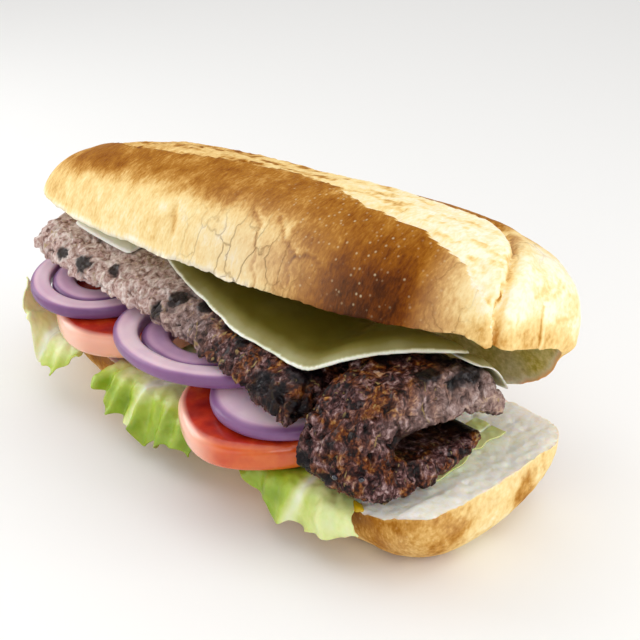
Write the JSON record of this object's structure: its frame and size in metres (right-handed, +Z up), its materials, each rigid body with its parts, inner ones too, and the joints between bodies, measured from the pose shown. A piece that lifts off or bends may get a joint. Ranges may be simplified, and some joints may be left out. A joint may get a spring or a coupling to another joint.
{
  "type": "submarine sandwich",
  "caption": "Long crusty roll, split lengthways and filled with grilled meat, melted cheese, red onion, tomato and lettuce.",
  "frame": {"origin": "On the surface the sandwich stands on, under the middle of its outline.", "axes": "+Z up, +X along the roll to the end where the folded meat shows, -Y to the side that the filling hangs out of."},
  "size_m": [0.2488, 0.1166, 0.1149],
  "materials": {
    "crust": "dry, golden to brown baked crust, pale crumb inside",
    "meat": "moist grilled meat, charred on top",
    "cheese": "soft, melted, slightly glossy",
    "onion": "crisp, pale inside with a purple skin",
    "tomato": "wet and glossy",
    "lettuce": "fresh, thin and ruffled, with a low gloss"
  },
  "bodies": {
    "root": {"bread_bottom": "crust", "bread_top": "crust", "meat_far": "meat", "meat_near": "meat", "cheese_far": "cheese", "cheese_mid": "cheese", "cheese_near": "cheese", "onion_far_outer": "onion", "onion_far_inner": "onion", "onion_mid_outer": "onion", "onion_mid_inner": "onion", "onion_near": "onion", "tomato_far": "tomato", "tomato_mid": "tomato", "lettuce_far": "lettuce", "lettuce_mid": "lettuce", "lettuce_near": "lettuce", "lettuce_end": "lettuce"}
  },
  "joints": []
}
